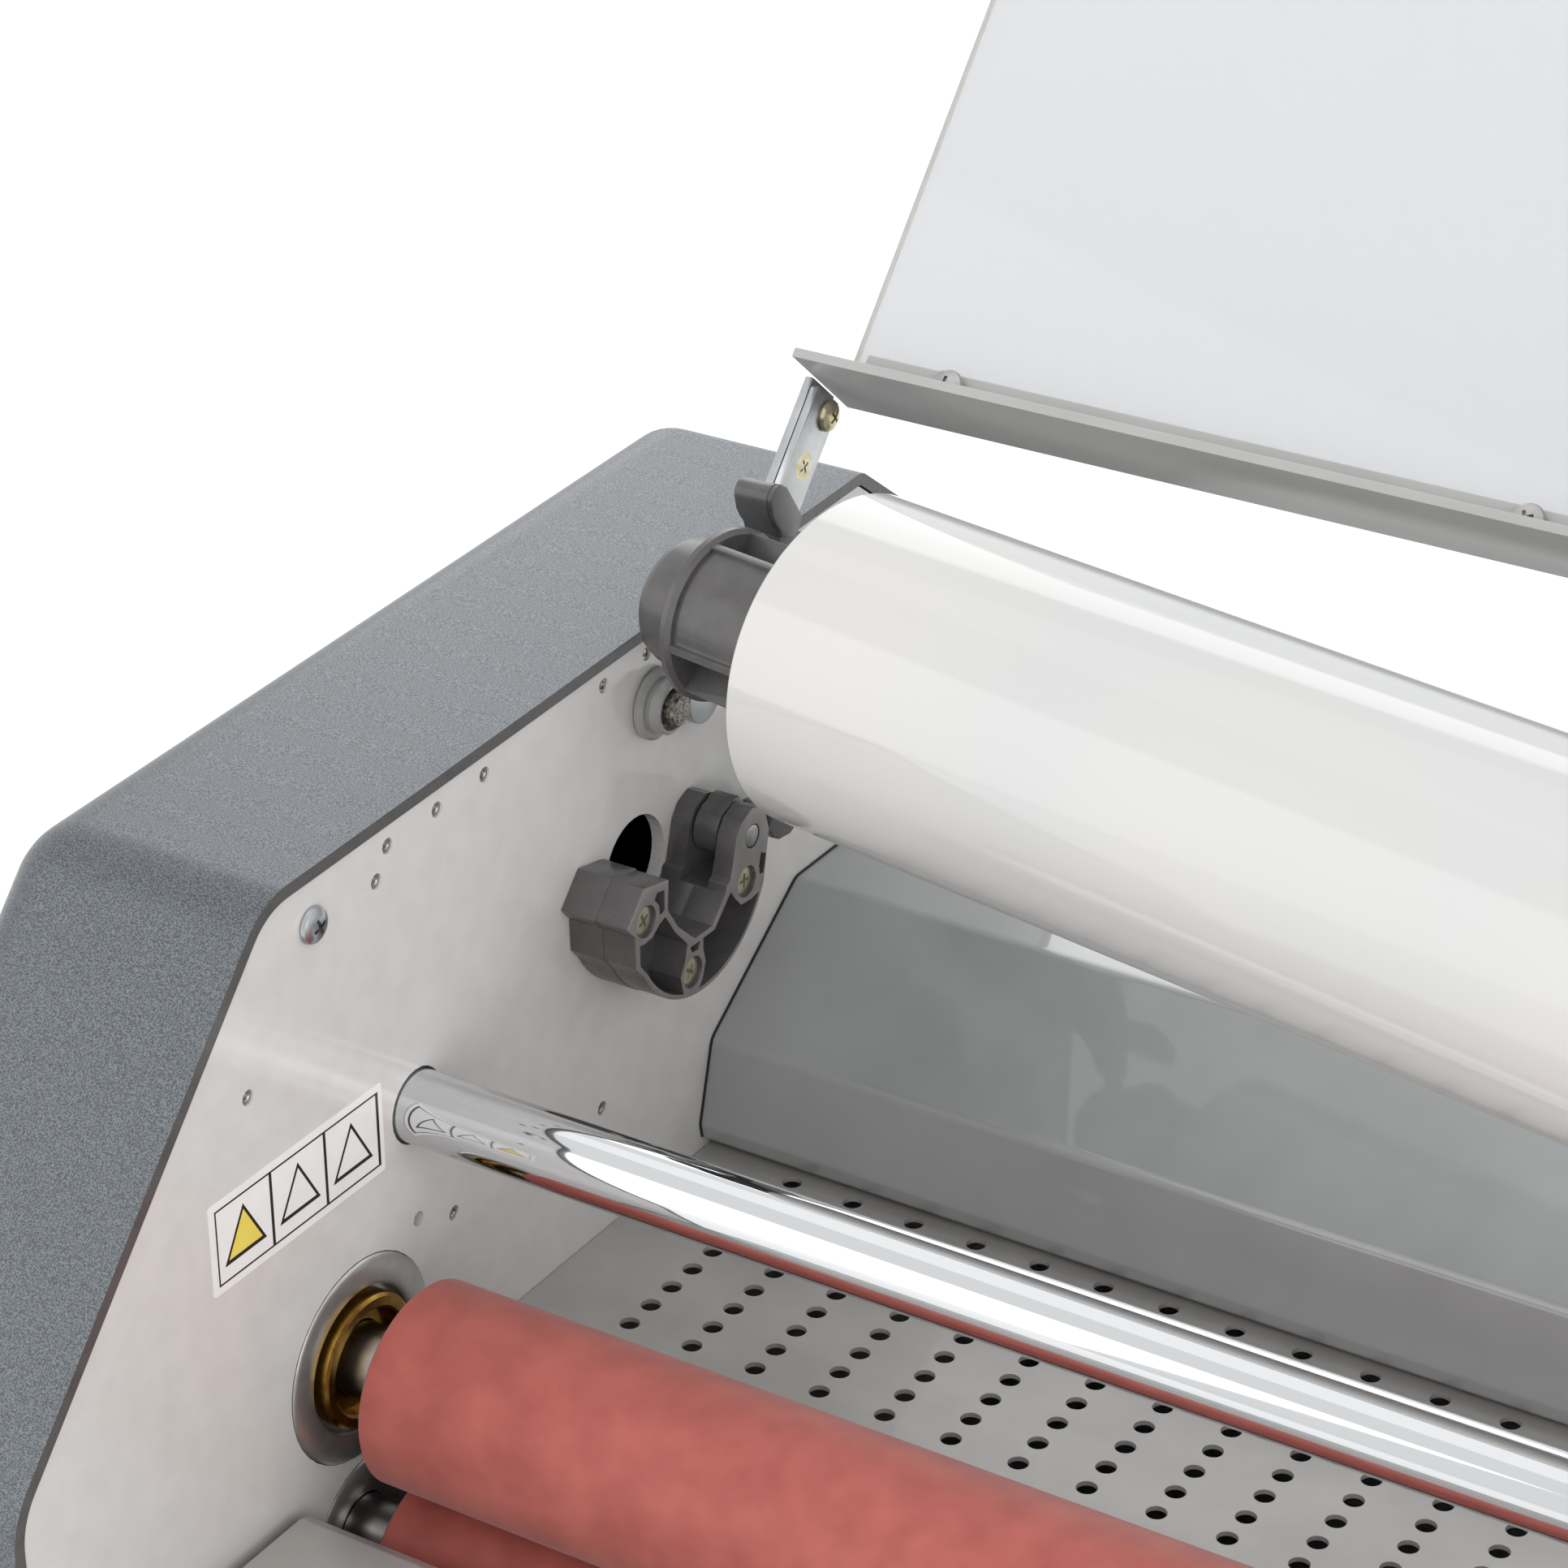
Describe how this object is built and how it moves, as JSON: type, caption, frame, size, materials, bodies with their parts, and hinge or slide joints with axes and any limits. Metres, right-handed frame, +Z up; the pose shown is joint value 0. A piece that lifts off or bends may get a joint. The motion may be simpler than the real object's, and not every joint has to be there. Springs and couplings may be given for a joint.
{
  "type": "desktop roll laminator",
  "caption": "Desktop roll laminator with red silicone heated rollers, chrome idler bar, swing-out film mandrel, hooked film brackets and a lift-up clear shield between dark side covers.",
  "frame": {"origin": "centre of the overall outline, on the surface that the four feet stand on", "axes": "+X along the rollers to the operator's right, +Y away from the operator, +Z up"},
  "size_m": [0.88, 0.565, 0.5587],
  "materials": {
    "warm_grey_powder_coat": "smooth powder coat on 4 mm steel plate",
    "dark_grey_metallic_paint": "fine metallic grain",
    "mid_grey_paint": "semi-gloss",
    "light_grey_paint": "satin",
    "zinc_plated_steel": "zinc plated",
    "dark_warm_grey_abs": "moulded, fine texture",
    "black_plastic": "moulded",
    "laminating_film": "glossy wound film",
    "grey_cardboard": "spiral-wound paper board",
    "chrome_plate": "polished",
    "red_silicone": "matt silicone rubber",
    "brass": "turned",
    "turned_steel": "turned",
    "black_rubber": "moulded",
    "satin_aluminium": "satin",
    "clear_acrylic": "clear sheet",
    "red_plastic": "moulded"
  },
  "bodies": {
    "machine": {"side_plate_left": "warm_grey_powder_coat", "side_plate_right": "warm_grey_powder_coat", "side_cover_left": "dark_grey_metallic_paint", "side_cover_right": "dark_grey_metallic_paint", "base_pan": "zinc_plated_steel", "rear_panel": "zinc_plated_steel", "front_panel": "dark_grey_metallic_paint", "perforated_plate": "light_grey_paint", "plenum_cover": "mid_grey_paint", "feed_table": "light_grey_paint", "bearing_ring_upper_left": "turned_steel", "bearing_ring_upper_right": "turned_steel", "bush_upper_left": "brass", "bush_upper_right": "brass", "motor": "zinc_plated_steel", "drive_belt": "black_rubber", "supply_pivot_bracket": "dark_warm_grey_abs", "supply_bracket_right": "dark_warm_grey_abs", "lower_bracket_left": "dark_warm_grey_abs", "lower_bracket_right": "dark_warm_grey_abs", "magnet_stub_left": "dark_warm_grey_abs", "magnet_stub_right": "dark_warm_grey_abs", "control_pad": "black_plastic", "power_inlet": "black_plastic", "foot_front_left": "black_rubber", "foot_front_right": "black_rubber", "foot_rear_left": "black_rubber", "foot_rear_right": "black_rubber"},
    "upper_roller": {"upper_roller_core": "turned_steel", "upper_roller_sleeve": "red_silicone", "drive_gear_upper": "turned_steel"},
    "lower_nip_carriage": {"bearing_ring_lower_left": "turned_steel", "bearing_ring_lower_right": "turned_steel"},
    "lower_roller": {"lower_roller_core": "turned_steel", "lower_roller_sleeve": "red_silicone", "drive_gear_lower": "turned_steel"},
    "pull_roller_top": {"pull_roller_upper": "black_rubber", "pull_gear_upper": "turned_steel"},
    "pull_roller_bottom": {"pull_roller_lower": "black_rubber", "pull_gear_lower": "turned_steel"},
    "idler": {"idler_bar": "chrome_plate"},
    "pinion": {"motor_pinion": "turned_steel"},
    "mandrel": {"supply_mandrel": "turned_steel"},
    "film_supply": {"supply_chuck_left": "dark_warm_grey_abs", "supply_chuck_right": "dark_warm_grey_abs", "film_core": "grey_cardboard", "film_roll": "laminating_film"},
    "swing_lock": {"swing_lock_lever": "dark_warm_grey_abs"},
    "supply_latch": {"supply_latch_right": "dark_warm_grey_abs"},
    "latch_left": {"lower_latch_left": "dark_warm_grey_abs"},
    "latch_right": {"lower_latch_right": "dark_warm_grey_abs"},
    "shield": {"shield_arm_left": "satin_aluminium", "shield_arm_right": "satin_aluminium", "shield_beam": "mid_grey_paint", "shield_clamp_strip": "satin_aluminium", "shield_panel": "clear_acrylic"},
    "knob": {"speed_knob": "black_plastic"},
    "stop_button": {"emergency_stop": "red_plastic"},
    "switch_rocker": {"power_switch": "black_plastic"},
    "pressure_handle": {"pressure_lever": "turned_steel"}
  },
  "joints": [
    {"name": "shield_hinge", "type": "hinge", "parent": "machine", "child": "shield", "pos_m": [0, 0.04994, 0.34466], "axis": [1, 0, 0], "range_deg": [0, 52]},
    {"name": "mandrel_swing", "type": "hinge", "parent": "machine", "child": "mandrel", "pos_m": [-0.344, 0.0296, 0.3834], "axis": [0, 0, 1], "range_deg": [-10, 9.5]},
    {"name": "film_spin", "type": "hinge", "parent": "mandrel", "child": "film_supply", "pos_m": [-0.344, 0.0296, 0.3834], "axis": [0.9863, -0.165, 0], "continuous": true},
    {"name": "upper_roller_spin", "type": "hinge", "parent": "machine", "child": "upper_roller", "pos_m": [0, -0.11, 0.2219], "axis": [1, 0, 0], "continuous": true},
    {"name": "lower_nip", "type": "slide", "parent": "machine", "child": "lower_nip_carriage", "axis": [0, 0, 1], "range_m": [-0.005, 0]},
    {"name": "lower_roller_spin", "type": "hinge", "parent": "lower_nip_carriage", "child": "lower_roller", "pos_m": [0, -0.11, 0.1669], "axis": [1, 0, 0], "continuous": true},
    {"name": "pull_upper_spin", "type": "hinge", "parent": "machine", "child": "pull_roller_top", "pos_m": [0, 0.2075, 0.2164], "axis": [1, 0, 0], "continuous": true},
    {"name": "pull_lower_spin", "type": "hinge", "parent": "machine", "child": "pull_roller_bottom", "pos_m": [0, 0.2075, 0.1724], "axis": [1, 0, 0], "continuous": true},
    {"name": "pinion_spin", "type": "hinge", "parent": "machine", "child": "pinion", "pos_m": [0.37, -0.0675, 0.2219], "axis": [1, 0, 0], "continuous": true},
    {"name": "idler_spin", "type": "hinge", "parent": "machine", "child": "idler", "pos_m": [0, -0.081, 0.2829], "axis": [1, 0, 0], "continuous": true},
    {"name": "swing_lock_hinge", "type": "hinge", "parent": "machine", "child": "swing_lock", "pos_m": [-0.343, 0.0695, 0.372], "axis": [1, 0, 0], "range_deg": [-35, 0]},
    {"name": "supply_latch_hinge", "type": "hinge", "parent": "machine", "child": "supply_latch", "pos_m": [0.33, 0.0135, 0.3998], "axis": [1, 0, 0], "range_deg": [0, 245]},
    {"name": "lower_latch_left_hinge", "type": "hinge", "parent": "machine", "child": "latch_left", "pos_m": [-0.3493, 0.0452, 0.3092], "axis": [1, 0, 0], "range_deg": [0, 75]},
    {"name": "lower_latch_right_hinge", "type": "hinge", "parent": "machine", "child": "latch_right", "pos_m": [0.3493, 0.0452, 0.3092], "axis": [1, 0, 0], "range_deg": [0, 75]},
    {"name": "speed_knob_turn", "type": "hinge", "parent": "machine", "child": "knob", "pos_m": [0.39, -0.203, 0.31017], "axis": [0, -0.7423, 0.6701], "range_deg": [-135, 135]},
    {"name": "emergency_stop_press", "type": "slide", "parent": "machine", "child": "stop_button", "axis": [0, 0.7423, -0.6701], "range_m": [0, 0.0035], "stiffness_N_per_m": 900},
    {"name": "power_switch_rock", "type": "hinge", "parent": "machine", "child": "switch_rocker", "pos_m": [-0.266, 0.2322, 0.09], "axis": [1, 0, 0], "range_deg": [0, 18]},
    {"name": "pressure_lever_hinge", "type": "hinge", "parent": "machine", "child": "pressure_handle", "pos_m": [0.393, -0.0025, 0.312], "axis": [1, 0, 0], "range_deg": [0, 30]}
  ],
  "couplings": [
    {"joint": "lower_roller_spin", "follows": "upper_roller_spin", "ratio": -1},
    {"joint": "pinion_spin", "follows": "upper_roller_spin", "ratio": -1.8333},
    {"joint": "pull_upper_spin", "follows": "upper_roller_spin", "ratio": 1.2517},
    {"joint": "pull_lower_spin", "follows": "upper_roller_spin", "ratio": -1.2517},
    {"joint": "lower_nip", "follows": "pressure_lever_hinge", "m_per_rad": -0.0095493}
  ]
}
